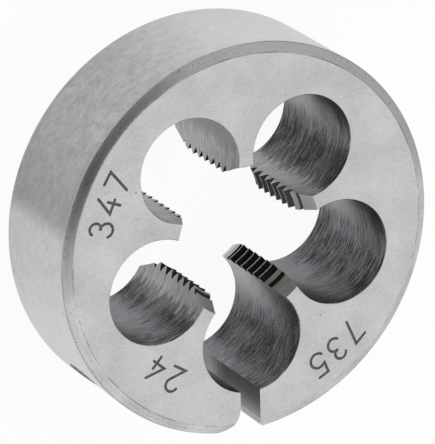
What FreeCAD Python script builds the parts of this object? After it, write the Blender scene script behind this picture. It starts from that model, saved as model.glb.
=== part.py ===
import FreeCAD
import Part

import math
import os

from FreeCAD import Vector

# A round split threading die, one piece of high speed steel.
# Frame: +Z along the axis, back face on z = 0, face where the tap side starts on top,
# origin on the axis, slit on the -Y side. Millimetres and degrees.

# Blank
outer_diameter = 33.34
thickness = 11.11
front_chamfer_width = 0.80
front_chamfer_depth = 0.46
back_chamfer_width = 0.80
back_chamfer_depth = 1.10

# Thread, right-hand metric fine
thread_diameter = 12.0
thread_pitch = 1.0
thread_height_on_slit = 0.40
front_lead_diameter = 13.0
front_lead_half_angle = 24.0
back_lead_diameter = 13.24
back_lead_half_angle = 24.0

# Chip holes, evenly spaced, the first one on the slit
hole_count = 5
hole_diameter = 8.92
hole_circle_diameter = 17.36

# Rake flats, ground on both sides of each land where it carries the thread
land_width = 1.66
rake_diameter = 12.4

# Slit, open from the first chip hole to the rim, a little to the -X side of the middle
slit_width = 1.80
slit_offset = -0.30
slit_corner_radius = 2.0
slit_corner_bevel = 0.40

# Screw seats on the rim: two closing dimples and the cone at the mouth of the slit
dimple_diameter = 5.2
dimple_cone_angle = 90.0
dimple_spread = 45.0
mouth_cone_diameter = 4.6
mouth_cone_angle = 60.0

outer_radius = outer_diameter / 2
middle_height = (back_chamfer_depth + thickness - front_chamfer_depth) / 2

# A 60 degree thread with equal flats at crest and root, an eighth of the pitch each
root_flat = thread_pitch / 8
flank_height = (thread_pitch / 2 - root_flat) / math.tan(math.radians(30))
major_radius = thread_diameter / 2
minor_radius = major_radius - flank_height


def ring_face(points):
    """Closed half-section in the XZ plane."""
    return Part.Face(Part.makePolygon(points + points[:1]))


def make_blank():
    section = ring_face([
        Vector(0, 0, 0),
        Vector(outer_radius - back_chamfer_width, 0, 0),
        Vector(outer_radius, 0, back_chamfer_depth),
        Vector(outer_radius, 0, thickness - front_chamfer_depth),
        Vector(outer_radius - front_chamfer_width, 0, thickness),
        Vector(0, 0, thickness),
    ])
    blank = section.revolve(Vector(0, 0, 0), Vector(0, 0, 1), 360)
    # The seam of the turned faces lies about opposite the slit
    blank.rotate(Vector(0, 0, 0), Vector(0, 0, 1), 100)
    return blank


def make_bore():
    # The bore at the crests of the thread, opened by a lead cone at each face
    front_slope = math.tan(math.radians(front_lead_half_angle))
    back_slope = math.tan(math.radians(back_lead_half_angle))
    over = thread_pitch
    front_radius = front_lead_diameter / 2
    back_radius = back_lead_diameter / 2
    section = ring_face([
        Vector(0, 0, -over),
        Vector(back_radius + over * back_slope, 0, -over),
        Vector(minor_radius, 0, (back_radius - minor_radius) / back_slope),
        Vector(minor_radius, 0, thickness - (front_radius - minor_radius) / front_slope),
        Vector(front_radius + over * front_slope, 0, thickness + over),
        Vector(0, 0, thickness + over),
    ])
    return section.revolve(Vector(0, 0, 0), Vector(0, 0, 1), 360)


def make_thread_grooves():
    # A 60 degree groove along a helix. It is laid in arcs, one per land and turn, that end
    # on the centre lines of the chip holes, and it runs out past both faces.
    step = 360.0 / hole_count
    rise = thread_pitch / hole_count
    half_flat = root_flat / 2
    inward = flank_height + 0.06 * thread_pitch
    half_open = half_flat + inward * math.tan(math.radians(30))
    profile = Part.makePolygon([
        Vector(major_radius, 0, -half_flat),
        Vector(major_radius, 0, half_flat),
        Vector(major_radius - inward, 0, half_open),
        Vector(major_radius - inward, 0, -half_open),
        Vector(major_radius, 0, -half_flat),
    ])
    helix = Part.makeHelix(thread_pitch, rise, major_radius)
    sweep = Part.BRepOffsetAPI.MakePipeShell(Part.Wire(helix.Edges))
    sweep.setBiNormalMode(Vector(0, 0, 1))
    sweep.add(profile)
    sweep.build()
    sweep.makeSolid()
    arc = sweep.shape()
    grooves = []
    lowest = -2 * hole_count
    highest = hole_count * math.ceil(thickness / thread_pitch + 1)
    for index in range(lowest, highest):
        groove = arc.copy()
        groove.rotate(Vector(0, 0, 0), Vector(0, 0, 1), -90 + index * step)
        groove.translate(Vector(0, 0, index * rise + thread_height_on_slit))
        grooves.append(groove)
    return grooves


def make_chip_holes():
    holes = []
    step = 360.0 / hole_count
    for index in range(hole_count):
        turn = math.radians(-90 + index * step)
        centre = Vector(
            hole_circle_diameter / 2 * math.cos(turn),
            hole_circle_diameter / 2 * math.sin(turn),
            -1,
        )
        holes.append(Part.makeCylinder(hole_diameter / 2, thickness + 2, centre))
    return holes


def make_rake_flats():
    # What lies beside the five lands inside the rake diameter
    round_piece = Part.makeCylinder(rake_diameter / 2, thickness + 2, Vector(0, 0, -1))
    strips = []
    step = 360.0 / hole_count
    for index in range(hole_count):
        strip = Part.makeBox(
            rake_diameter,
            land_width,
            thickness + 2,
            Vector(0, -land_width / 2, -1),
        )
        strip.rotate(Vector(0, 0, 0), Vector(0, 0, 1), -90 + (index + 0.5) * step)
        strips.append(strip)
    return round_piece.cut(strips)


def make_slit():
    slit = Part.makeBox(
        slit_width,
        outer_radius + 1 - hole_circle_diameter / 2,
        thickness + 2,
        Vector(slit_offset - slit_width / 2, -outer_radius - 1, -1),
    )
    return [slit, make_rounded_corner(), make_bevelled_corner()]


def make_rounded_corner():
    # What the rounding takes off where the slit meets the rim, on the -X side
    wall = slit_offset - slit_width / 2
    across = wall - slit_corner_radius
    reach = outer_radius - slit_corner_radius
    along = -math.sqrt(reach ** 2 - across ** 2)
    on_rim = Vector(across, along, 0) * (outer_radius / reach)
    direction = math.atan2(on_rim.y - along, on_rim.x - across) / 2
    on_arc = Vector(
        across + slit_corner_radius * math.cos(direction),
        along + slit_corner_radius * math.sin(direction),
        0,
    )
    on_wall = Vector(wall, along, 0)
    below = -outer_radius - 1
    outline = Part.Wire([
        Part.Arc(on_wall, on_arc, on_rim).toShape(),
        Part.makeLine(on_rim, Vector(on_rim.x, below, 0)),
        Part.makeLine(Vector(on_rim.x, below, 0), Vector(0, below, 0)),
        Part.makeLine(Vector(0, below, 0), Vector(0, along, 0)),
        Part.makeLine(Vector(0, along, 0), on_wall),
    ])
    corner = Part.Face(outline).extrude(Vector(0, 0, thickness + 2))
    corner.translate(Vector(0, 0, -1))
    return corner


def make_bevelled_corner():
    # The small bevel on the +X side of the mouth
    wall = slit_offset + slit_width / 2
    edge = -math.sqrt(outer_radius ** 2 - wall ** 2)
    outline = Part.makePolygon([
        Vector(0, edge + slit_corner_bevel, 0),
        Vector(wall, edge + slit_corner_bevel, 0),
        Vector(wall + slit_corner_bevel, edge, 0),
        Vector(wall + slit_corner_bevel + 1, edge - 1, 0),
        Vector(0, edge - 1, 0),
        Vector(0, edge + slit_corner_bevel, 0),
    ])
    corner = Part.Face(outline).extrude(Vector(0, 0, thickness + 2))
    corner.translate(Vector(0, 0, -1))
    return corner


def make_screw_seat(diameter, cone_angle, angle):
    # A cone sunk into the rim at mid height, with its mouth this wide on the rim
    slope = math.tan(math.radians(cone_angle / 2))
    half_chord = diameter / 2
    mouth = math.sqrt(outer_radius ** 2 - half_chord ** 2)
    over = 1.0
    depth = half_chord / slope
    turn = math.radians(angle)
    outward = Vector(math.cos(turn), math.sin(turn), 0)
    tip = outward * (mouth - depth) + Vector(0, 0, middle_height)
    return Part.makeCone(0, half_chord + over * slope, depth + over, tip, outward)


def make_die():
    die = make_blank().cut(make_bore())
    die = die.cut(make_chip_holes())
    die = die.cut(make_slit())
    die = die.cut([
        make_screw_seat(dimple_diameter, dimple_cone_angle, -90 - dimple_spread),
        make_screw_seat(dimple_diameter, dimple_cone_angle, -90 + dimple_spread),
        make_screw_seat(mouth_cone_diameter, mouth_cone_angle, -90),
    ])
    die = die.cut(make_rake_flats())
    die = die.cut(make_thread_grooves())
    if len(die.Solids) != 1 or not die.isValid():
        raise ValueError("the die is not one valid solid")
    return die.Solids[0]


os.makedirs("parts", exist_ok=True)
die = make_die()
die.exportStep("parts/die.step")
print("die: volume", round(die.Volume, 1), "faces", len(die.Faces))
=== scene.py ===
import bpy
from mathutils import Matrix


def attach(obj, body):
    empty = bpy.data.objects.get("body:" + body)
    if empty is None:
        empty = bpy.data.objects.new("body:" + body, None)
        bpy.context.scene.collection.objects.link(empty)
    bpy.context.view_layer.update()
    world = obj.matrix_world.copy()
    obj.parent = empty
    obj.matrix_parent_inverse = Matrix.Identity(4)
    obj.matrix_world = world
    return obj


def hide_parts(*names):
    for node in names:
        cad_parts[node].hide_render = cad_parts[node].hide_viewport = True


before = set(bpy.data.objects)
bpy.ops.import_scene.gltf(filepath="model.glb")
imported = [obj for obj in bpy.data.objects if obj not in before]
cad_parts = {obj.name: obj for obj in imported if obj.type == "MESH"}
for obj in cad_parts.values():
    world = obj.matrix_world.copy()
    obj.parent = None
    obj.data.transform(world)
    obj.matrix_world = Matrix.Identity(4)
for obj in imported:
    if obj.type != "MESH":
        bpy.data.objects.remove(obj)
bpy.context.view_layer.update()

import math

import bmesh
import bpy
from mathutils import Matrix

scene = bpy.context.scene

# A round split threading die of high speed steel. Sizes are in millimetres until the
# finished mesh is scaled: +Z along its axis, back face on z = 0, slit towards -Y. Azimuths
# count from +X in degrees. The scale of a pattern is per millimetre, so at 5 it is 0.2 mm
# coarse.

perMetre = 1000.0  # millimetres


def toLinear(hexCode):
    channels = []
    for start in (0, 2, 4):
        value = int(hexCode[start:start + 2], 16) / 255
        channels.append(value / 12.92 if value <= 0.04045 else ((value + 0.055) / 1.055) ** 2.4)
    return (*channels, 1.0)


def addNode(tree, kind, inputs=None, **settings):
    # an input goes by name, or by number where two share one, as the colours 6 and 7 of a Mix
    node = tree.nodes.new(kind)
    for name, value in settings.items():
        setattr(node, name, value)
    for name, value in (inputs or {}).items():
        if isinstance(value, bpy.types.Node):
            value = value.outputs[0]
        if isinstance(value, bpy.types.NodeSocket):
            tree.links.new(value, node.inputs[name])
        else:
            node.inputs[name].default_value = value
    return node


def startSteel(name):
    # gives back the material, its tree and the place on the die in millimetres
    steel = bpy.data.materials.new(name)
    steel.use_nodes = True
    tree = steel.node_tree
    tree.nodes.clear()
    metres = addNode(tree, "ShaderNodeTexCoord").outputs["Object"]
    place = addNode(tree, "ShaderNodeVectorMath", {0: metres, 3: perMetre}, operation="SCALE")
    return steel, tree, place


def finishSteel(tree, colour, layers, roughness, height, depth, metallic=1.0):
    # each layer is a share and the tone that it lays over the colour so far. depth is how
    # deep the pattern in height goes, in millimetres
    for share, tone in layers:
        colour = addNode(tree, "ShaderNodeMix", {
            0: share, 6: colour, 7: toLinear(tone)}, data_type="RGBA").outputs[2]
    relief = addNode(tree, "ShaderNodeBump", {
        "Height": height, "Distance": depth / perMetre, "Strength": 1.0})
    shader = addNode(tree, "ShaderNodeBsdfPrincipled", {
        "Base Color": colour, "Metallic": metallic, "Roughness": roughness, "Normal": relief})
    addNode(tree, "ShaderNodeOutputMaterial", {"Surface": shader})


def meshPiece(name, points, faces, steels, slots=None):
    mesh = bpy.data.meshes.new(name)
    mesh.from_pydata(points, [], faces)
    for steel in steels:
        mesh.materials.append(steel)
    if slots:
        mesh.polygons.foreach_set("material_index", slots)
    mesh.update()
    piece = bpy.data.objects.new(name, mesh)
    scene.collection.objects.link(piece)
    return piece


def turnedPiece(name, profile, sides, steels, slotOfSpan):
    # a lathe shape from (radius, height) pairs, closed by flat ends of the first steel
    points, faces, slots = [], [], []
    rings = len(profile)
    for index in range(sides):
        turn = 2 * math.pi * index / sides
        points += [(radius * math.cos(turn), radius * math.sin(turn), height) for radius, height in profile]
    for index in range(sides):
        here = index * rings
        there = ((index + 1) % sides) * rings
        for span in range(rings - 1):
            faces.append((here + span, there + span, there + span + 1, here + span + 1))
            slots.append(slotOfSpan[span])
    faces.append([index * rings for index in reversed(range(sides))])
    faces.append([index * rings + rings - 1 for index in range(sides)])
    slots += [0, 0]
    return meshPiece(name, points, faces, steels, slots)


def extrudedPiece(name, outlines, low, high, steel):
    # upright walls on one or more outlines, with flat ends
    points, faces = [], []
    for outline in outlines:
        count = len(outline)
        first = len(points)
        points += [(x, y, low) for x, y in outline] + [(x, y, high) for x, y in outline]
        faces.append([first + index for index in reversed(range(count))])
        faces.append([first + count + index for index in range(count)])
        for index in range(count):
            after = (index + 1) % count
            faces.append((first + index, first + after, first + count + after, first + count + index))
    piece = meshPiece(name, points, faces, [steel])
    edited = bmesh.new()
    edited.from_mesh(piece.data)
    bmesh.ops.recalc_face_normals(edited, faces=edited.faces)
    edited.to_mesh(piece.data)
    edited.free()
    return piece


print("stage: blank")

blankSize = {
    "outerRadius": 16.665,
    "thickness": 11.11,
    "frontChamferWidth": 0.80,
    "frontChamferDepth": 0.46,
    "backChamferWidth": 0.80,
    "backChamferDepth": 1.10,
    "edgeBreak": 0.05,
    "sides": 288,
}


def groundFaceSteel():
    # High speed steel, surface ground: an even satin grey with a soft cloudiness, a fine
    # grain, hairline scratches that cross each other and a few small pits
    steel, tree, place = startSteel("surfaceGroundSteel")
    cloud = addNode(tree, "ShaderNodeTexNoise", {
        "Vector": place, "Scale": 0.28, "Detail": 5.0, "Roughness": 0.62})
    # the grain is drawn 0.3 mm coarse, because a real one is too fine to show
    grain = addNode(tree, "ShaderNodeTexNoise", {
        "Vector": place, "Scale": 3.6, "Detail": 3.0, "Roughness": 0.7})
    mixed = addNode(tree, "ShaderNodeMath", {0: grain, 1: 0.45}, operation="MULTIPLY")
    mixed = addNode(tree, "ShaderNodeMath", {0: cloud, 1: 0.55, 2: mixed}, operation="MULTIPLY_ADD")
    level = addNode(tree, "ShaderNodeMapRange", {"Value": mixed, "From Min": 0.36, "From Max": 0.64})
    # hairlines 0.1 mm wide and 1 to 2 mm long, wider than real ones so that they show. Each
    # set has an angle, a width, a length and the noise level at which it starts, and its
    # own shift so that no two match
    hairlines = 0.0
    hairlineSets = [(25, 0.10, 1.6, 0.715), (-50, 0.12, 1.2, 0.72), (78, 0.10, 2.0, 0.72)]
    for angle, width, length, start in hairlineSets:
        along = addNode(tree, "ShaderNodeMapping", {
            "Vector": place, "Rotation": (0, 0, math.radians(angle)),
            "Scale": (1 / length, 0.5 / width, 0.2), "Location": (angle, 3.1, 0)})
        noise = addNode(tree, "ShaderNodeTexNoise", {"Vector": along, "Scale": 1.0, "Detail": 1.0})
        line = addNode(tree, "ShaderNodeMapRange", {
            "Value": noise, "From Min": start, "From Max": start + 0.06})
        hairlines = addNode(tree, "ShaderNodeMath", {0: line, 1: hairlines}, operation="MAXIMUM")
    scratchShare, pitShare = 0.22, 0.6
    scratched = addNode(tree, "ShaderNodeMath", {0: hairlines, 1: scratchShare}, operation="MULTIPLY")
    # a few pits of about 0.2 mm
    cell = addNode(tree, "ShaderNodeTexVoronoi", {"Vector": place, "Scale": 0.42, "Randomness": 1.0})
    pit = addNode(tree, "ShaderNodeMapRange", {
        "Value": cell.outputs["Distance"], "From Min": 0.035, "From Max": 0.06,
        "To Min": 1.0, "To Max": 0.0})
    chance = addNode(tree, "ShaderNodeSeparateColor", {0: cell.outputs["Color"]})
    chosen = addNode(tree, "ShaderNodeMath", {0: chance, 1: 0.62}, operation="GREATER_THAN")
    pits = addNode(tree, "ShaderNodeMath", {0: pit, 1: chosen}, operation="MULTIPLY")
    pitted = addNode(tree, "ShaderNodeMath", {0: pits, 1: pitShare}, operation="MULTIPLY")
    sunk = addNode(tree, "ShaderNodeMath", {0: hairlines, 1: pits}, operation="ADD")
    height = addNode(tree, "ShaderNodeMath", {0: grain, 1: sunk}, operation="SUBTRACT")
    roughness = addNode(tree, "ShaderNodeMapRange", {
        "Value": mixed, "From Min": 0.35, "From Max": 0.65, "To Min": 0.46, "To Max": 0.38})
    layers = [(level, "d0d0cf"), (scratched, "84848a"), (pitted, "6c6c6e")]
    finishSteel(tree, toLinear("bcbcbd"), layers, roughness, height, depth=0.003)
    return steel


def groundRimSteel():
    # The rim is centreless ground: a little darker than the faces, finely mottled like
    # paper, with faint lines that run round it, slanting rub marks and small scratches
    steel, tree, place = startSteel("centrelessGroundSteel")
    mottle = addNode(tree, "ShaderNodeTexNoise", {
        "Vector": place, "Scale": 1.1, "Detail": 5.0, "Roughness": 0.72, "Distortion": 0.9})
    # the lines lie 0.2 mm apart, and the rub marks 0.3 mm
    ring = addNode(tree, "ShaderNodeMapping", {"Vector": place, "Scale": (0.12, 0.12, 5.0)})
    lines = addNode(tree, "ShaderNodeTexNoise", {"Vector": ring, "Scale": 1.0, "Detail": 2.0})
    slant = addNode(tree, "ShaderNodeMapping", {
        "Vector": place, "Rotation": (0.5, 0.6, 0.3), "Scale": (0.9, 0.9, 3.2)})
    rubs = addNode(tree, "ShaderNodeTexNoise", {"Vector": slant, "Scale": 1.0, "Detail": 2.0})
    mixed = addNode(tree, "ShaderNodeMath", {0: rubs, 1: 0.05}, operation="MULTIPLY")
    for pattern, weight in ((lines, 0.2), (mottle, 0.70)):
        mixed = addNode(tree, "ShaderNodeMath", {
            0: pattern, 1: weight, 2: mixed}, operation="MULTIPLY_ADD")
    level = addNode(tree, "ShaderNodeMapRange", {"Value": mixed, "From Min": 0.38, "From Max": 0.62})
    # how far it is towards azimuths 147, 257.5 and 212. The first and the last are 1 at the
    # rim, and the second is in millimetres
    shadedSide, pastEdge, lowerLeft = [
        addNode(tree, "ShaderNodeVectorMath", {
            0: place, 1: heading}, operation="DOT_PRODUCT").outputs["Value"]
        for heading in ((-0.0503, 0.0327, 0.0), (-0.2164, -0.9763, 0.0), (-0.0509, -0.0318, 0.0))]
    # painted shade and reflection: the stretch beside the numbers 347 is painted darker, and the rim is
    # painted brighter away from it
    bright = addNode(tree, "ShaderNodeMapRange", {
        "Value": shadedSide, "From Min": 0.96, "From Max": 0.52, "To Min": 0.0, "To Max": 0.8},
        interpolation_type="SMOOTHSTEP")
    # painted shade and reflection: it is painted darkest along an edge that runs straight across the rim,
    # and painted pale beyond it
    edge = addNode(tree, "ShaderNodeMapRange", {
        "Value": pastEdge, "From Min": -1.1, "From Max": 1.0}, interpolation_type="SMOOTHSTEP")
    reach = addNode(tree, "ShaderNodeMapRange", {
        "Value": pastEdge, "From Min": -9.0, "From Max": -1.0, "To Min": 0.0, "To Max": 0.55},
        interpolation_type="SMOOTHSTEP")
    near = addNode(tree, "ShaderNodeMapRange", {"Value": shadedSide, "From Min": 0.5, "From Max": 0.8})
    strip = addNode(tree, "ShaderNodeMath", {0: reach, 1: near}, operation="MULTIPLY")
    before = addNode(tree, "ShaderNodeMath", {0: 1.0, 1: edge}, operation="SUBTRACT")
    strip = addNode(tree, "ShaderNodeMath", {0: strip, 1: before}, operation="MULTIPLY")
    fade = addNode(tree, "ShaderNodeMapRange", {
        "Value": lowerLeft, "From Min": 0.0, "From Max": 0.6, "To Min": 0.0, "To Max": 0.42},
        interpolation_type="SMOOTHSTEP")
    beyond = addNode(tree, "ShaderNodeMath", {0: edge, 1: fade}, operation="MULTIPLY")
    layers = [(level, "cacac9"), (bright, "e6e6e5"), (strip, "98989a"), (beyond, "f0f0ef")]
    # hair thin curling scratches, dark in some patches and pale in others
    curl = addNode(tree, "ShaderNodeTexNoise", {
        "Vector": place, "Scale": 2.6, "Detail": 1.0, "Distortion": 1.6})
    patch = addNode(tree, "ShaderNodeTexNoise", {"Vector": place, "Scale": 1.3, "Detail": 1.0})
    middle, halfWidth = 0.5, 0.018  # of the noise's range
    hair = addNode(tree, "ShaderNodeMath", {0: curl, 1: middle, 2: halfWidth}, operation="COMPARE")
    for tone, full in (("6e6e70", 0.62), ("f2f2f2", 0.38)):
        shown = addNode(tree, "ShaderNodeMapRange", {
            "Value": patch, "From Min": 0.50, "From Max": full, "To Min": 0.0, "To Max": 0.30})
        layers.append((addNode(tree, "ShaderNodeMath", {0: hair, 1: shown}, operation="MULTIPLY"), tone))
    # a few specks 0.2 to 0.3 mm across
    cell = addNode(tree, "ShaderNodeTexVoronoi", {"Vector": place, "Scale": 0.5, "Randomness": 1.0})
    speck = addNode(tree, "ShaderNodeMapRange", {
        "Value": cell.outputs["Distance"], "From Min": 0.05, "From Max": 0.08,
        "To Min": 0.5, "To Max": 0.0})
    layers.append((speck, "808082"))
    roughness = addNode(tree, "ShaderNodeMapRange", {
        "Value": mixed, "From Min": 0.35, "From Max": 0.65, "To Min": 0.46, "To Max": 0.36})
    finishSteel(tree, toLinear("b0b0b2"), layers, roughness, mixed, depth=0.012)
    return steel


def turnedChamferSteel():
    # The chamfers are turned and left as the tool cut them: bright and smooth, so they mirror the room,
    # with hair fine rings, small dark flecks and broken dark lines along their borders. Across from the
    # number 24 they are painted darker, as painted shade
    steel, tree, place = startSteel("turnedSteel")
    # rings 0.05 mm apart, which show in patches
    ring = addNode(tree, "ShaderNodeMapping", {"Vector": place, "Scale": (0.05, 0.05, 22.0)})
    lines = addNode(tree, "ShaderNodeTexNoise", {
        "Vector": ring, "Scale": 1.0, "Detail": 3.0, "Roughness": 0.7})
    patch = addNode(tree, "ShaderNodeTexNoise", {"Vector": place, "Scale": 0.3, "Detail": 3.0})
    shown = addNode(tree, "ShaderNodeMath", {0: lines, 1: patch}, operation="MULTIPLY")
    level = addNode(tree, "ShaderNodeMapRange", {"Value": shown, "From Min": 0.15, "From Max": 0.36})
    # how far it is towards azimuth 58, 1 on the chamfer there
    farSide = addNode(tree, "ShaderNodeVectorMath", {
        0: place, 1: (0.0325, 0.052, 0.0)}, operation="DOT_PRODUCT").outputs["Value"]
    # painted shade: the chamfer is darker towards azimuth 58
    paintedShade = addNode(tree, "ShaderNodeMapRange", {
        "Value": farSide, "From Min": 0.52, "From Max": 0.76, "To Min": 0.0, "To Max": 0.75},
        interpolation_type="SMOOTHSTEP")
    # flecks of 0.2 mm
    fleck = addNode(tree, "ShaderNodeTexNoise", {"Vector": place, "Scale": 6.0, "Detail": 2.0})
    dark = addNode(tree, "ShaderNodeMapRange", {
        "Value": fleck, "From Min": 0.60, "From Max": 0.70, "To Min": 0.0, "To Max": 0.5})
    # the border lines go by their distance from mid height. The one at the rim is never
    # quite gone, and the deeper back chamfer has it broad
    rimBorder, faceBorder, leastShare = (5.15, 5.10), (5.52, 5.54), 0.42
    height = addNode(tree, "ShaderNodeSeparateXYZ", {0: place}).outputs["Z"]
    fromMiddle = addNode(tree, "ShaderNodeMath", {
        0: height, 1: blankSize["thickness"] / 2}, operation="SUBTRACT")
    fromMiddle = addNode(tree, "ShaderNodeMath", {0: fromMiddle}, operation="ABSOLUTE")
    outer, inner = [
        addNode(tree, "ShaderNodeMapRange", {"Value": fromMiddle, "From Min": gone, "From Max": full})
        for gone, full in (rimBorder, faceBorder)]
    border = addNode(tree, "ShaderNodeMath", {0: outer, 1: inner}, operation="MAXIMUM")
    gaps = addNode(tree, "ShaderNodeTexNoise", {"Vector": place, "Scale": 0.5, "Detail": 3.0})
    kept = addNode(tree, "ShaderNodeMapRange", {
        "Value": gaps, "From Min": 0.44, "From Max": 0.64, "To Min": 0.0, "To Max": 0.60})
    broken = addNode(tree, "ShaderNodeMath", {0: border, 1: kept}, operation="MULTIPLY")
    least = addNode(tree, "ShaderNodeMath", {0: outer, 1: leastShare}, operation="MULTIPLY")
    line = addNode(tree, "ShaderNodeMath", {0: broken, 1: least}, operation="MAXIMUM")
    layers = [(level, "cdcdcc"), (paintedShade, "969597"), (dark, "5a5658"), (line, "565456")]
    finishSteel(tree, toLinear("b0aeb0"), layers, roughness=0.26, height=lines, depth=0.004)
    return steel


groundFace = groundFaceSteel()
groundRim = groundRimSteel()
turnedChamfer = turnedChamferSteel()


def makeBlank():
    # every edge is broken by a flat about twice edgeBreak wide, and the factors follow the
    # slopes of the two chamfers
    radius, top, soft = blankSize["outerRadius"], blankSize["thickness"], blankSize["edgeBreak"]
    frontWidth, frontDepth = blankSize["frontChamferWidth"], blankSize["frontChamferDepth"]
    backWidth, backDepth = blankSize["backChamferWidth"], blankSize["backChamferDepth"]
    profile = [
        (radius - backWidth - soft, 0), (radius - backWidth + soft * 0.6, soft * 0.8),
        (radius - soft * 0.6, backDepth - soft), (radius, backDepth + soft),
        (radius, top - frontDepth - soft), (radius - soft * 1.2, top - frontDepth + soft * 0.7),
        (radius - frontWidth + soft, top - soft * 0.55), (radius - frontWidth - soft, top),
    ]
    steels = [groundFace, turnedChamfer, groundRim]
    slots = [1, 1, 1, 2, 1, 1, 1]  # the rim is in the middle, and the rest is turned
    return turnedPiece("blank", profile, blankSize["sides"], steels, slots)


die = makeBlank()
past = 1.0  # how far a cutter reaches past what it cuts

print("stage: bore and thread")

threadSize = {
    "majorRadius": 6.0,
    "pitch": 1.0,
    "flankHeight": 0.649519,
    "flankAngle": 30.0,
    "rootFlatShare": 0.125,  # of the pitch
    "grooveReach": 0.06,  # how far the groove's cutter reaches past the crests
    "heightOnSlit": 0.40,
    "turns": 14,
    "pointsPerTurn": 96,
    "frontLeadRadius": 6.50,
    "frontLeadHalfAngle": 24.0,
    "backLeadRadius": 6.62,
    "backLeadHalfAngle": 24.0,
    "sides": 160,
}


def leadConeSteel():
    # The lead cones are countersunk, with close rings 0.2 mm apart: at the front they are dull olive grey
    # near the slit and painted pale grey on the far side, and painted pale at the back, as painted light
    steel, tree, place = startSteel("countersunkSteel")
    ring = addNode(tree, "ShaderNodeMapping", {"Vector": place, "Scale": (0.4, 0.4, 5.0)})
    lines = addNode(tree, "ShaderNodeTexNoise", {
        "Vector": ring, "Scale": 1.0, "Detail": 3.0, "Roughness": 0.7})
    level = addNode(tree, "ShaderNodeMapRange", {"Value": lines, "From Min": 0.35, "From Max": 0.65})
    # how far it is towards azimuth 108, 1 on the cone there
    farSide = addNode(tree, "ShaderNodeVectorMath", {
        0: place, 1: (-0.05, 0.155, 0.0)}, operation="DOT_PRODUCT").outputs["Value"]
    # painted light: paler towards azimuth 108, and at the back
    paintedLight = addNode(tree, "ShaderNodeMapRange", {
        "Value": farSide, "From Min": -0.9, "From Max": 0.1})
    height = addNode(tree, "ShaderNodeSeparateXYZ", {0: place}).outputs["Z"]
    atBack = addNode(tree, "ShaderNodeMapRange", {"Value": height, "From Min": 4.0, "From Max": 3.0})
    paintedLight = addNode(tree, "ShaderNodeMath", {0: paintedLight, 1: atBack}, operation="MAXIMUM")
    layers = [(level, "a8a8a0"), (paintedLight, "f0f0ef")]
    finishSteel(tree, toLinear("84847e"), layers, roughness=0.5, height=lines, depth=0.004)
    return steel


def threadSteel(name, low, high, roughness, paler):
    # The thread is tapped: the grooves are painted nearly black inside, as painted shade, and the crests
    # are rubbed bright. paler is how much grey, as painted light, the land at the right gets, at azimuth 18
    steel, tree, place = startSteel(name)
    streaks = addNode(tree, "ShaderNodeTexNoise", {
        "Vector": place, "Scale": 3.0, "Detail": 3.0, "Roughness": 0.7})
    level = addNode(tree, "ShaderNodeMapRange", {
        "Value": streaks, "From Min": 0.35, "From Max": 0.65})
    # painted light: the lands towards azimuth 18 are paler
    towards = addNode(tree, "ShaderNodeVectorMath", {
        0: place, 1: (0.951, 0.309, 0.0)}, operation="DOT_PRODUCT").outputs["Value"]
    shown = addNode(tree, "ShaderNodeMapRange", {
        "Value": towards, "From Min": 3.0, "From Max": 4.5, "To Min": 0.0, "To Max": paler})
    finishSteel(tree, toLinear(low), [(level, high), (shown, "6a6a6a")], roughness, streaks, depth=0.002)
    return steel


leadCone = leadConeSteel()
# the groove flanks are painted nearly black, as painted shade
threadFlank = threadSteel("tappedSteel", "1e1e1e", "323232", roughness=0.42, paler=0.26)
threadCrest = threadSteel("rubbedCrestSteel", "8c8c88", "b4b4b0", roughness=0.34, paler=0.0)


def makeBoreCutter():
    top = blankSize["thickness"]
    frontSlope = math.tan(math.radians(threadSize["frontLeadHalfAngle"]))
    backSlope = math.tan(math.radians(threadSize["backLeadHalfAngle"]))
    crest = threadSize["majorRadius"] - threadSize["flankHeight"]
    front, back = threadSize["frontLeadRadius"], threadSize["backLeadRadius"]
    profile = [
        (back + past * backSlope, -past), (crest, (back - crest) / backSlope),
        (crest, top - (front - crest) / frontSlope), (front + past * frontSlope, top + past),
    ]
    return turnedPiece("boreCutter", profile, threadSize["sides"], [leadCone, threadCrest], [0, 1, 0])


boreCutter = makeBoreCutter()

print("stage: chip holes")

holeSize = {
    "count": 5,
    "radius": 4.46,
    "circleRadius": 8.68,
    "edgeBreak": 0.05,
    "sides": 120,
    "landWidth": 1.66,
    "rakeRadius": 6.20,
}


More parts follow.
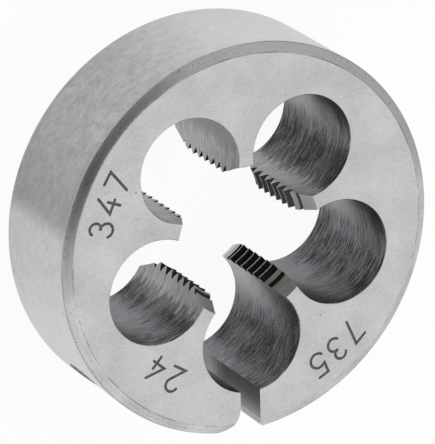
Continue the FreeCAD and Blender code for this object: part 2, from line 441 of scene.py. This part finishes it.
def drilledWallSteel():
    # The chip holes look drilled and brushed: fine lines that run round the wall at a
    # slight slant, a faint plum tint deep in the hole, and a paler ragged patch beside
    # the teeth, as a ground cutting edge has
    steel, tree, place = startSteel("brushedDrilledSteel")
    x, y, z = addNode(tree, "ShaderNodeSeparateXYZ", {0: place}).outputs
    # which hole it is, and how far round that hole's wall
    step = 2 * math.pi / holeSize["count"]
    azimuth = addNode(tree, "ShaderNodeMath", {0: y, 1: x}, operation="ARCTAN2")
    fromSlit = addNode(tree, "ShaderNodeMath", {0: azimuth, 1: math.pi / 2}, operation="ADD")
    hole = addNode(tree, "ShaderNodeMath", {0: fromSlit, 1: step}, operation="DIVIDE")
    hole = addNode(tree, "ShaderNodeMath", {0: hole}, operation="ROUND")
    beside = addNode(tree, "ShaderNodeMath", {0: hole, 1: -step, 2: fromSlit}, operation="MULTIPLY_ADD")
    cosine = addNode(tree, "ShaderNodeMath", {0: beside}, operation="COSINE")
    sine = addNode(tree, "ShaderNodeMath", {0: beside}, operation="SINE")
    flat = addNode(tree, "ShaderNodeCombineXYZ", {0: x, 1: y})
    radius = addNode(tree, "ShaderNodeVectorMath", {0: flat}, operation="LENGTH").outputs["Value"]
    outward = addNode(tree, "ShaderNodeMath", {
        0: radius, 1: cosine, 2: -holeSize["circleRadius"]}, operation="MULTIPLY_ADD")
    across = addNode(tree, "ShaderNodeMath", {0: radius, 1: sine}, operation="MULTIPLY")
    turn = addNode(tree, "ShaderNodeMath", {0: across, 1: outward}, operation="ARCTAN2")
    along = addNode(tree, "ShaderNodeMath", {0: turn, 1: holeSize["radius"]}, operation="MULTIPLY")
    wallTurn = addNode(tree, "ShaderNodeMath", {0: hole, 1: step, 2: turn}, operation="MULTIPLY_ADD")

    def sector(azimuth, halfWidth, high):
        # high where the wall lies towards this azimuth on the die, and 0 past its half width
        away = addNode(tree, "ShaderNodeMath", {
            0: wallTurn, 1: math.radians(azimuth + 90)}, operation="SUBTRACT")
        away = addNode(tree, "ShaderNodeMath", {0: away}, operation="COSINE")
        return addNode(tree, "ShaderNodeMapRange", {
            "Value": away, "From Min": math.cos(math.radians(halfWidth)), "From Max": 1.0,
            "To Min": 0.0, "To Max": high}, interpolation_type="SMOOTHSTEP")

    # the slant, a rise per millimetre, wavers a little
    slant, waverHeight = 0.07, 1.6
    waver = addNode(tree, "ShaderNodeTexNoise", {"Vector": place, "Scale": 0.22, "Detail": 1.0})
    slanted = addNode(tree, "ShaderNodeMath", {0: along, 1: slant, 2: z}, operation="MULTIPLY_ADD")
    slanted = addNode(tree, "ShaderNodeMath", {
        0: waver, 1: waverHeight, 2: slanted}, operation="MULTIPLY_ADD")
    wall = addNode(tree, "ShaderNodeCombineXYZ", {0: along, 1: slanted, 2: hole})
    # lines 0.13 mm wide and 1.8 mm long, and strokes 0.1 mm wide and 1.2 mm long. The third
    # scale gives each hole its own
    patterns = []
    for scales, detail, rough in (((0.55, 7.5, 7.3), 4.0, 0.75), ((0.8, 10.0, 5.1), 2.0, 0.5)):
        spread = addNode(tree, "ShaderNodeVectorMath", {0: wall, 1: scales}, operation="MULTIPLY")
        patterns.append(addNode(tree, "ShaderNodeTexNoise", {
            "Vector": spread, "Scale": 1.0, "Detail": detail, "Roughness": rough}))
    lines, strokes = patterns
    level = addNode(tree, "ShaderNodeMapRange", {"Value": lines, "From Min": 0.36, "From Max": 0.64})
    # painted shade and light: a wall is painted dark along its front edge. On two sides of each hole it is
    # also painted paler towards the back, and two sectors are painted paler all the way down. The hole at
    # the upper left, at azimuth 140, is painted pale all over, and plain is 0 there and 1 in the others
    deeper = addNode(tree, "ShaderNodeMapRange", {
        "Value": z, "From Min": 10.6, "From Max": 4.0, "To Min": -0.9, "To Max": 1.2})
    steep = addNode(tree, "ShaderNodeMath", {
        0: sector(25, 36, 0.75), 1: sector(-106, 34, 0.48)}, operation="ADD")
    upperLeft = addNode(tree, "ShaderNodeVectorMath", {
        0: place, 1: (-0.12, 0.10, 0.0)}, operation="DOT_PRODUCT").outputs["Value"]
    plain = addNode(tree, "ShaderNodeMapRange", {
        "Value": upperLeft, "From Min": 0.55, "From Max": 0.95, "To Min": 1.0, "To Max": 0.0})
    steep = addNode(tree, "ShaderNodeMath", {0: steep, 1: plain}, operation="MULTIPLY")
    level = addNode(tree, "ShaderNodeMath", {0: steep, 1: deeper, 2: level}, operation="MULTIPLY_ADD")
    atFront = addNode(tree, "ShaderNodeMapRange", {
        "Value": z, "From Min": 9.0, "From Max": 11.0, "To Min": 0.55, "To Max": 0.30},
        interpolation_type="SMOOTHSTEP")
    level = addNode(tree, "ShaderNodeMath", {0: level, 1: atFront}, operation="ADD")
    plainDrop = -0.75
    level = addNode(tree, "ShaderNodeMath", {0: plain, 1: plainDrop, 2: level}, operation="MULTIPLY_ADD")
    # a painted highlight: a pale strip at the front edge on one side of each hole
    strip = addNode(tree, "ShaderNodeMapRange", {"Value": z, "From Min": 9.8, "From Max": 10.8})
    level = addNode(tree, "ShaderNodeMath", {
        0: strip, 1: sector(22, 36, 0.50), 2: level}, operation="MULTIPLY_ADD")
    # the two sectors that are painted paler all the way down
    for paler in (sector(4, 32, 0.38), sector(-95, 38, 0.50)):
        level = addNode(tree, "ShaderNodeMath", {0: level, 1: paler}, operation="ADD")
    # a cloudiness of 3 mm and a grit of 0.14 mm
    for scale, detail, rough, weight, clamp in ((0.3, 3.0, 0.6, 1.2, False), (7.0, 2.0, 0.7, 1.1, True)):
        noise = addNode(tree, "ShaderNodeTexNoise", {
            "Vector": place, "Scale": scale, "Detail": detail, "Roughness": rough})
        noise = addNode(tree, "ShaderNodeMath", {0: noise, 1: -0.5}, operation="ADD")
        level = addNode(tree, "ShaderNodeMath", {
            0: noise, 1: weight, 2: level}, operation="MULTIPLY_ADD", use_clamp=clamp)
    # towards the lands the wall is paler, and beside the teeth it is ground pale
    nearLand = addNode(tree, "ShaderNodeMapRange", {
        "Value": radius, "From Min": 8.8, "From Max": 6.9}, interpolation_type="SMOOTHSTEP")
    deep, pale = [
        addNode(tree, "ShaderNodeMix", {
            0: level, 6: toLinear(low), 7: toLinear(high)}, data_type="RGBA").outputs[2]
        for low, high in (("3e3c40", "aaa8ad"), ("848484", "c4c4c3"))]
    colour = addNode(tree, "ShaderNodeMix", {
        0: nearLand, 6: deep, 7: pale}, data_type="RGBA").outputs[2]
    fingers = addNode(tree, "ShaderNodeCombineXYZ", {0: along, 1: z, 2: hole})
    fingers = addNode(tree, "ShaderNodeVectorMath", {
        0: fingers, 1: (0.5, 2.4, 1.0)}, operation="MULTIPLY")
    fingers = addNode(tree, "ShaderNodeTexNoise", {"Vector": fingers, "Scale": 1.0, "Detail": 3.0})
    fingerLength, groundShare = 4.5, 0.6
    ragged = addNode(tree, "ShaderNodeMath", {
        0: fingers, 1: fingerLength, 2: radius}, operation="MULTIPLY_ADD")
    ground = addNode(tree, "ShaderNodeMapRange", {
        "Value": ragged, "From Min": 9.65, "From Max": 9.45})
    ground = addNode(tree, "ShaderNodeMath", {0: ground, 1: groundShare}, operation="MULTIPLY")
    # painted light: deep down, the side of each hole that is painted paler towards the back is painted
    # paler still
    low = addNode(tree, "ShaderNodeMapRange", {"Value": z, "From Min": 6.5, "From Max": 2.5})
    for part in (plain, sector(28, 34, 0.6)):
        low = addNode(tree, "ShaderNodeMath", {0: low, 1: part}, operation="MULTIPLY")
    stroke = addNode(tree, "ShaderNodeMapRange", {
        "Value": strokes, "From Min": 0.56, "From Max": 0.66, "To Min": 0.0, "To Max": 0.5})
    layers = [(ground, "dadad8"), (low, "e6e6e4"), (stroke, "1c1c1e")]
    roughness = addNode(tree, "ShaderNodeMapRange", {
        "Value": lines, "From Min": 0.3, "From Max": 0.7, "To Min": 0.44, "To Max": 0.34})
    finishSteel(tree, colour, layers, roughness, lines, depth=0.02)
    return steel


drilledWall = drilledWallSteel()


def makeHoleCutter():
    radius, soft, top = holeSize["radius"], holeSize["edgeBreak"], blankSize["thickness"]
    wide = radius + soft + past
    profile = [(wide, -past), (radius, soft), (radius, top - soft), (wide, top + past)]
    return turnedPiece("holeCutter", profile, holeSize["sides"], [drilledWall], [0, 0, 0])


def makeRakeCutter():
    # between two lands inside the rake radius, so that each land has parallel sides there
    half = holeSize["landWidth"] / 2
    reach = holeSize["rakeRadius"]
    lean = math.pi / holeSize["count"]
    edge = lean - math.asin(half / reach)
    steps = 6
    outline = [(half / math.sin(lean), 0.0)]
    for index in range(2 * steps + 1):
        turn = edge * (index / steps - 1)
        outline.append((reach * math.cos(turn), reach * math.sin(turn)))
    return extrudedPiece("rakeCutter", [outline], -past, blankSize["thickness"] + past, drilledWall)


holeCutter = makeHoleCutter()
rakeCutter = makeRakeCutter()

print("stage: slit")

slitSize = {
    "width": 1.80,
    "offset": -0.30,
    "cornerRadius": 2.0,
    "cornerBevel": 0.40,
}


def slitWallSteel():
    # The slit is ground through with a thin wheel, with faint lines along the cut. Its walls are painted
    # dark grey as painted shade, and painted paler towards the back face and the rim, with a painted
    # highlight on the outer edge
    steel, tree, place = startSteel("slitGroundSteel")
    cut = addNode(tree, "ShaderNodeMapping", {"Vector": place, "Scale": (1.0, 0.25, 4.5)})
    lines = addNode(tree, "ShaderNodeTexNoise", {
        "Vector": cut, "Scale": 1.0, "Detail": 3.0, "Roughness": 0.65})
    level = addNode(tree, "ShaderNodeMapRange", {"Value": lines, "From Min": 0.15, "From Max": 0.85})
    # the painted pale parts go by millimetres of height and from the axis, and the lines make the border
    # towards the back waver
    waverHeight = 2.0
    y, z = addNode(tree, "ShaderNodeSeparateXYZ", {0: place}).outputs[1:3]
    wavering = addNode(tree, "ShaderNodeMath", {
        0: lines, 1: waverHeight, 2: z}, operation="MULTIPLY_ADD")
    nearBack = addNode(tree, "ShaderNodeMapRange", {
        "Value": wavering, "From Min": 6.2, "From Max": 3.0, "To Min": 0.0, "To Max": 0.75},
        interpolation_type="SMOOTHSTEP")
    nearRim = addNode(tree, "ShaderNodeMapRange", {
        "Value": y, "From Min": -13.9, "From Max": -16.6, "To Min": 0.0, "To Max": 0.8},
        interpolation_type="SMOOTHSTEP")
    # a painted highlight along the outer edge
    atEdge = addNode(tree, "ShaderNodeMapRange", {"Value": y, "From Min": -15.6, "From Max": -15.72})
    pale = nearBack
    for part in (nearRim, atEdge):
        pale = addNode(tree, "ShaderNodeMath", {0: pale, 1: part}, operation="MAXIMUM")
    layers = [(level, "4c4c50"), (pale, "b0b0b1")]
    finishSteel(tree, toLinear("36363b"), layers, roughness=0.36, height=lines, depth=0.006)
    return steel


slitWall = slitWallSteel()


def roundedCorner():
    # what the rounding takes off where the slit meets the rim, on the -X side
    outer = blankSize["outerRadius"]
    rounding = slitSize["cornerRadius"]
    across = slitSize["offset"] - slitSize["width"] / 2 - rounding
    along = -math.sqrt((outer - rounding) ** 2 - across ** 2)
    last = math.atan2(along, across)
    steps = 14
    outline = [(0.0, along)]
    for index in range(steps + 1):
        turn = last * index / steps
        outline.append((across + rounding * math.cos(turn), along + rounding * math.sin(turn)))
    return outline + [(outline[-1][0], -outer - past), (0.0, -outer - past)]


def makeSlitCutters():
    outer, top = blankSize["outerRadius"], blankSize["thickness"]
    left = slitSize["offset"] - slitSize["width"] / 2
    right = slitSize["offset"] + slitSize["width"] / 2
    bevel = slitSize["cornerBevel"]
    inner = -holeSize["circleRadius"]
    edge = -math.sqrt(outer ** 2 - right ** 2)
    straight = [(left, inner), (left, -outer - past), (right, -outer - past), (right, inner)]
    bevelled = [
        (0, edge + bevel), (0, edge - past), (right + bevel + past, edge - past),
        (right + bevel, edge), (right, edge + bevel)]
    return [
        extrudedPiece("slitCutter", [straight], -past, top + past, slitWall),
        extrudedPiece("roundingCutter", [roundedCorner()], -past, top + past, groundRim),
        extrudedPiece("bevelCutter", [bevelled], -past, top + past, groundRim),
    ]


slitCutters = makeSlitCutters()

print("stage: screw seats")

seatSize = {
    "dimpleRadius": 2.6,
    "dimpleHalfAngle": 45.0,
    "dimpleSpread": 45.0,
    "mouthRadius": 2.3,
    "mouthHalfAngle": 45.0,
    "tipRadius": 0.02,
    "sides": 64,
}


def screwSeatSteel():
    # The screw seats are drilled to a point: darker than the rim, with a speckle of 0.4 mm
    steel, tree, place = startSteel("pointDrilledSteel")
    speckle = addNode(tree, "ShaderNodeTexNoise", {
        "Vector": place, "Scale": 2.5, "Detail": 4.0, "Roughness": 0.7})
    level = addNode(tree, "ShaderNodeMapRange", {
        "Value": speckle, "From Min": 0.35, "From Max": 0.65})
    layers = [(level, "8c8c90")]
    finishSteel(tree, toLinear("6a6a6e"), layers, roughness=0.38, height=speckle, depth=0.006)
    return steel


screwSeat = screwSeatSteel()


def makeSeatCutter(name, radius, halfAngle, azimuth):
    # a cone that points at the axis, with this radius where it meets the rim
    outer, top = blankSize["outerRadius"], blankSize["thickness"]
    slope = math.tan(math.radians(halfAngle))
    mouth = math.sqrt(outer ** 2 - radius ** 2)
    tip = mouth - radius / slope
    blunt = seatSize["tipRadius"]
    profile = [(blunt, tip + blunt / slope), (radius + slope * past, mouth + past)]
    cutter = turnedPiece(name, profile, seatSize["sides"], [screwSeat], [0])
    middle = (blankSize["backChamferDepth"] + top - blankSize["frontChamferDepth"]) / 2
    lying = Matrix.Rotation(math.radians(azimuth), 4, "Z") @ Matrix.Rotation(math.radians(90), 4, "Y")
    cutter.data.transform(Matrix.Translation((0, 0, middle)) @ lying)
    return cutter


dimple = (seatSize["dimpleRadius"], seatSize["dimpleHalfAngle"])
seatCutters = [
    makeSeatCutter("leftDimpleCutter", *dimple, -90 - seatSize["dimpleSpread"]),
    makeSeatCutter("rightDimpleCutter", *dimple, -90 + seatSize["dimpleSpread"]),
    makeSeatCutter("mouthCutter", seatSize["mouthRadius"], seatSize["mouthHalfAngle"], -90),
]

print("stage: marks")

markSize = {
    "height": 2.10,
    "strokeWidth": 0.24,
    "depth": 0.04,
    # digits, azimuth of their middle, radius of their middle, degrees from digit to digit
    "groups": [("347", 155.7, 13.76, 8.3), ("735", -54.9, 13.69, 8.3), ("24", -129.1, 12.74, 9.2)],
}


def etchedSteel():
    # The numbers are etched by a laser: matt dark grey, slightly speckled
    steel, tree, place = startSteel("laserEtchedSteel")
    speckle = addNode(tree, "ShaderNodeTexNoise", {"Vector": place, "Scale": 6.0, "Detail": 2.0})
    level = addNode(tree, "ShaderNodeMapRange", {
        "Value": speckle, "From Min": 0.35, "From Max": 0.65})
    finishSteel(tree, toLinear("4c4c4e"), [(level, "6a6a6c")], roughness=0.62, height=speckle,
                depth=0.004, metallic=0.35)
    return steel


etched = etchedSteel()


def arcPath(x, y, radius, first, last):
    degreesPerStep = 15
    count = max(2, round(abs(last - first) / degreesPerStep))
    turns = [math.radians(first + (last - first) * index / count) for index in range(count + 1)]
    return [(x + radius * math.cos(turn), y + radius * math.sin(turn)) for turn in turns]


# each digit is one or two strokes in a cell that is 0.6 wide and 1 high
cellWidth = 0.6
digitStrokes = {
    "2": [arcPath(0.29, 0.72, 0.27, 165, -35) + [(0.03, 0.0), (0.58, 0.0)]],
    "3": [arcPath(0.28, 0.75, 0.24, 155, -80), arcPath(0.28, 0.27, 0.28, 85, -155)],
    "4": [[(0.46, 1.0), (0.02, 0.30), (0.60, 0.30)], [(0.44, 0.55), (0.44, 0.0)]],
    "5": [[(0.53, 1.0), (0.10, 1.0), (0.06, 0.56)] + arcPath(0.27, 0.31, 0.31, 105, -150)],
    "7": [[(0.03, 1.0), (0.57, 1.0), (0.20, 0.0)]],
}


def strokeOutline(path, half):
    # both sides of the path, mitred at its bends, and a half circle at each end
    sides = ([], [])
    headings = []
    for (fromX, fromY), (toX, toY) in zip(path, path[1:]):
        headings.append(math.atan2(toY - fromY, toX - fromX))
    for index, (x, y) in enumerate(path):
        before, after = headings[max(index - 1, 0)], headings[min(index, len(headings) - 1)]
        bend = (after - before + math.pi) % (2 * math.pi) - math.pi
        across = before + bend / 2 + math.pi / 2
        reach = half / math.cos(bend / 2)
        for side, sign in zip(sides, (1, -1)):
            side.append((x + sign * reach * math.cos(across), y + sign * reach * math.sin(across)))
    first, last = math.degrees(headings[0]), math.degrees(headings[-1])
    endCap = arcPath(*path[-1], half, last + 90, last - 90)[1:-1]
    startCap = arcPath(*path[0], half, first - 90, first - 270)[1:-1]
    return sides[0] + endCap + sides[1][::-1] + startCap


def makeMarkCutters():
    # the second strokes cross the first, so they are cut by a second piece
    layers = ([], [])
    height = markSize["height"]
    for digits, azimuth, radius, spread in markSize["groups"]:
        for index, digit in enumerate(digits):
            turn = math.radians(azimuth - 90 - spread * (index - (len(digits) - 1) / 2))
            cosine, sine = math.cos(turn), math.sin(turn)
            for layer, stroke in zip(layers, digitStrokes[digit]):
                path = [((x - cellWidth / 2) * height, (y - 0.5) * height + radius) for x, y in stroke]
                outline = strokeOutline(path, markSize["strokeWidth"] / 2)
                layer.append([(x * cosine - y * sine, x * sine + y * cosine) for x, y in outline])
    low = blankSize["thickness"] - markSize["depth"]
    return [extrudedPiece("markCutter", layer, low, low + past, etched) for layer in layers]


markCutters = makeMarkCutters()

print("stage: cutting the blank")

cutters = (boreCutter, holeCutter, rakeCutter, *slitCutters, *seatCutters, *markCutters)


def cuttingTree():
    tree = bpy.data.node_groups.new("dieCutting", "GeometryNodeTree")
    panel = tree.interface
    panel.new_socket("Geometry", in_out="INPUT", socket_type="NodeSocketGeometry")
    panel.new_socket("Geometry", in_out="OUTPUT", socket_type="NodeSocketGeometry")
    sizes = [
        ("Chip Holes", "NodeSocketInt", holeSize["count"]),
        ("Hole Circle Radius", "NodeSocketFloat", holeSize["circleRadius"]),
        ("Major Radius", "NodeSocketFloat", threadSize["majorRadius"]),
        ("Pitch", "NodeSocketFloat", threadSize["pitch"]),
        ("Flank Height", "NodeSocketFloat", threadSize["flankHeight"]),
        ("Turns", "NodeSocketFloat", threadSize["turns"]),
        ("Lowest Groove", "NodeSocketFloat", threadSize["heightOnSlit"] - 2 * threadSize["pitch"]),
        ("Points Per Turn", "NodeSocketInt", threadSize["pointsPerTurn"]),
        ("Thickness", "NodeSocketFloat", blankSize["thickness"]),
    ]
    values = {}
    for name, kind, value in sizes:
        socket = panel.new_socket(name, in_out="INPUT", socket_type=kind)
        values[socket.identifier] = value
    given = addNode(tree, "NodeGroupInput").outputs
    bore, drill, rake, *others = [
        addNode(tree, "GeometryNodeObjectInfo", {"Object": cutter}).outputs["Geometry"]
        for cutter in cutters]
    towardsSlit = (0, 0, math.radians(-90))

    # chip holes on their circle, the first one on the slit, and rake cuts so close to the
    # axis that only the way they face differs
    ring = addNode(tree, "GeometryNodeMeshCircle", {
        "Vertices": given["Chip Holes"], "Radius": given["Hole Circle Radius"]})
    ring = addNode(tree, "GeometryNodeTransform", {"Geometry": ring, "Rotation": towardsSlit})
    nearAxis = 0.0001
    centre = addNode(tree, "GeometryNodeTransform", {
        "Geometry": ring, "Scale": (nearAxis, nearAxis, 1.0)})
    position = addNode(tree, "GeometryNodeInputPosition")
    facing = addNode(tree, "FunctionNodeAlignRotationToVector", {
        "Vector": position}, axis="X", pivot_axis="Z")
    drills, rakes = [
        addNode(tree, "GeometryNodeInstanceOnPoints", {
            "Points": points, "Instance": cutter, "Rotation": facing})
        for points, cutter in ((ring, drill), (centre, rake))]
    holes = addNode(tree, "GeometryNodeRealizeInstances", {"Geometry": drills})

    # the groove of the thread, swept along a right-hand helix
    inward = addNode(tree, "ShaderNodeMath", {
        0: given["Flank Height"], 1: threadSize["grooveReach"]}, operation="ADD")
    flat = addNode(tree, "ShaderNodeMath", {
        0: given["Pitch"], 1: threadSize["rootFlatShare"]}, operation="MULTIPLY")
    opening = addNode(tree, "ShaderNodeMath", {
        0: inward, 1: 2 * math.tan(math.radians(threadSize["flankAngle"])), 2: flat},
        operation="MULTIPLY_ADD")
    section = addNode(tree, "GeometryNodeCurvePrimitiveQuadrilateral", {
        "Height": inward, "Bottom Width": opening, "Top Width": flat, "Offset": 0.0},
        mode="TRAPEZOID")
    section = addNode(tree, "GeometryNodeTransform", {"Geometry": section, "Rotation": towardsSlit})
    middle = addNode(tree, "ShaderNodeMath", {
        0: inward, 1: -0.5, 2: given["Major Radius"]}, operation="MULTIPLY_ADD")
    climb = addNode(tree, "ShaderNodeMath", {
        0: given["Turns"], 1: given["Pitch"]}, operation="MULTIPLY")
    helix = addNode(tree, "GeometryNodeCurveSpiral", {
        "Resolution": given["Points Per Turn"], "Rotations": given["Turns"],
        "Start Radius": middle, "End Radius": middle, "Height": climb, "Reverse": True})
    helix = addNode(tree, "GeometryNodeSetCurveNormal", {"Curve": helix}, mode="Z_UP")
    groove = addNode(tree, "GeometryNodeCurveToMesh", {
        "Curve": helix, "Profile Curve": section, "Fill Caps": True})
    lift = addNode(tree, "ShaderNodeCombineXYZ", {"Z": given["Lowest Groove"]})
    groove = addNode(tree, "GeometryNodeTransform", {
        "Geometry": groove, "Translation": lift, "Rotation": towardsSlit})
    groove = addNode(tree, "GeometryNodeSetMaterial", {"Geometry": groove, "Material": threadFlank})

    body = given["Geometry"]
    for cutter in (bore, holes, rakes, groove, *others):
        body = addNode(tree, "GeometryNodeMeshBoolean", {
            "Mesh 1": body, "Mesh 2": cutter}, operation="DIFFERENCE", solver="MANIFOLD")

    # the piece leaves in metres. Its flat faces, found to 0.004 mm, are ground last
    tolerance = 0.004 / perMetre
    metres = addNode(tree, "GeometryNodeTransform", {"Geometry": body, "Scale": (1 / perMetre,) * 3})
    height = addNode(tree, "ShaderNodeSeparateXYZ", {0: position}).outputs["Z"]
    half = addNode(tree, "ShaderNodeMath", {
        0: given["Thickness"], 1: 0.5 / perMetre}, operation="MULTIPLY")
    fromMiddle = addNode(tree, "ShaderNodeMath", {0: height, 1: half}, operation="SUBTRACT")
    fromMiddle = addNode(tree, "ShaderNodeMath", {0: fromMiddle}, operation="ABSOLUTE")
    nearFace = addNode(tree, "ShaderNodeMath", {0: half, 1: tolerance}, operation="SUBTRACT")
    onFace = addNode(tree, "FunctionNodeCompare", {
        0: fromMiddle, 1: nearFace}, operation="GREATER_THAN", data_type="FLOAT")
    whole = addNode(tree, "GeometryNodeRealizeInstances", {"Geometry": metres})
    faced = addNode(tree, "GeometryNodeSetMaterial", {
        "Geometry": whole, "Selection": onFace, "Material": groundFace})
    addNode(tree, "NodeGroupOutput", {"Geometry": faced})
    return tree, values


def cutDie():
    tree, values = cuttingTree()
    modifier = die.modifiers.new("cutting", "NODES")
    modifier.node_group = tree
    for identifier, value in values.items():
        modifier[identifier] = value
    mesh = bpy.data.meshes.new_from_object(die.evaluated_get(bpy.context.evaluated_depsgraph_get()))
    die.modifiers.remove(modifier)
    die.data = mesh
    die.name = "splitDie"
    mesh.name = "splitDie"
    for cutter in cutters:
        bpy.data.objects.remove(cutter)
    mesh.shade_smooth()
    sharpBend = 12  # degrees, and a gentler bend looks round
    mesh.set_sharp_from_angle(angle=math.radians(sharpBend))
    print("stage: the die has", len(mesh.polygons), "faces and", len(mesh.materials), "steels")


cutDie()
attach(die, "root")
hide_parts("die")

print("stage: floor, light and camera")

studio = {
    "floorSize": 2.0,
    "floorColour": "f2f2f2",
    "whiteToEye": 0.94,
    "whiteToMirror": 0.50,
    # the darker part of the room is behind and above the camera
    "darkTowards": (-0.41, 0.27, 0.87),
    "darkInner": 12.0,
    "darkOuter": 44.0,
    "darkLevel": 0.16,
    "roomLevel": 1.0,
    "lampPower": 0.4,
    "lampSize": 0.5,
    "lampPlace": (0.32, 0.66, 0.24),
}


def makeFloor():
    # matt white paper that looks white to the camera and keeps a faint shadow
    half = studio["floorSize"] / 2
    paper = bpy.data.materials.new("mattPaper")
    paper.use_nodes = True
    tree = paper.node_tree
    tree.nodes.clear()
    matt = addNode(tree, "ShaderNodeBsdfDiffuse", {"Color": toLinear(studio["floorColour"])})
    white = addNode(tree, "ShaderNodeEmission", {"Color": (1, 1, 1, 1), "Strength": 1.0})
    # how white it looks to the camera, and how white in metal or glass
    path = addNode(tree, "ShaderNodeLightPath").outputs
    mirrored = addNode(tree, "ShaderNodeMath", {
        0: path["Is Glossy Ray"], 1: path["Is Transmission Ray"]}, operation="MAXIMUM")
    mirrored = addNode(tree, "ShaderNodeMath", {
        0: mirrored, 1: studio["whiteToMirror"]}, operation="MULTIPLY")
    share = addNode(tree, "ShaderNodeMath", {
        0: path["Is Camera Ray"], 1: studio["whiteToEye"], 2: mirrored}, operation="MULTIPLY_ADD")
    both = addNode(tree, "ShaderNodeMixShader", {0: share, 1: matt, 2: white})
    addNode(tree, "ShaderNodeOutputMaterial", {"Surface": both})
    corners = [(-half, -half, 0), (half, -half, 0), (half, half, 0), (-half, half, 0)]
    floor = meshPiece("floor", corners, [(0, 1, 2, 3)], [paper])


def makeWorld():
    world = bpy.data.worlds.new("studio")
    scene.world = world
    world.use_nodes = True
    tree = world.node_tree
    tree.nodes.clear()
    x, y, z = studio["darkTowards"]
    length = math.sqrt(x * x + y * y + z * z)
    towards = addNode(tree, "ShaderNodeVectorMath", {
        0: addNode(tree, "ShaderNodeTexCoord").outputs["Generated"],
        1: (x / length, y / length, z / length)}, operation="DOT_PRODUCT").outputs["Value"]
    edge, core = [math.cos(math.radians(studio[name])) for name in ("darkOuter", "darkInner")]
    level = addNode(tree, "ShaderNodeMapRange", {
        "Value": towards, "From Min": edge, "From Max": core,
        "To Min": studio["roomLevel"], "To Max": studio["darkLevel"]},
        interpolation_type="SMOOTHSTEP")
    eye = addNode(tree, "ShaderNodeLightPath").outputs["Is Camera Ray"]
    strength = addNode(tree, "ShaderNodeMath", {0: level, 1: eye}, operation="MAXIMUM")
    room = addNode(tree, "ShaderNodeBackground", {"Color": (1, 1, 1, 1), "Strength": strength})
    addNode(tree, "ShaderNodeOutputWorld", {"Surface": room})


def makeLamp():
    light = bpy.data.lights.new("softbox", "AREA")
    light.energy = studio["lampPower"]
    light.size = studio["lampSize"]
    lamp = bpy.data.objects.new("softbox", light)
    scene.collection.objects.link(lamp)
    lamp.location = studio["lampPlace"]
    lamp.rotation_euler = lamp.location.to_track_quat("Z", "Y").to_euler()


cameraSize = {
    "place": (-0.17695056, 0.14862932, 0.34373686),
    "right": (0.88012187, -0.02965147, 0.47382094),
    "down": (-0.19658185, -0.93122682, 0.30687488),
    "lens": 407.451,
}


def makeCamera():
    data = bpy.data.cameras.new("camera")
    data.lens = cameraSize["lens"]
    data.sensor_width = 36.0
    data.clip_start = 0.01
    data.clip_end = 10.0
    camera = bpy.data.objects.new("camera", data)
    scene.collection.objects.link(camera)
    rightX, rightY, rightZ = cameraSize["right"]
    downX, downY, downZ = cameraSize["down"]
    backX = rightZ * downY - rightY * downZ
    backY = rightX * downZ - rightZ * downX
    backZ = rightY * downX - rightX * downY
    x, y, z = cameraSize["place"]
    camera.matrix_world = Matrix((
        (rightX, -downX, backX, x), (rightY, -downY, backY, y), (rightZ, -downZ, backZ, z),
        (0, 0, 0, 1)))
    scene.camera = camera


makeFloor()
makeWorld()
makeLamp()
makeCamera()
scene.view_settings.view_transform = "Standard"
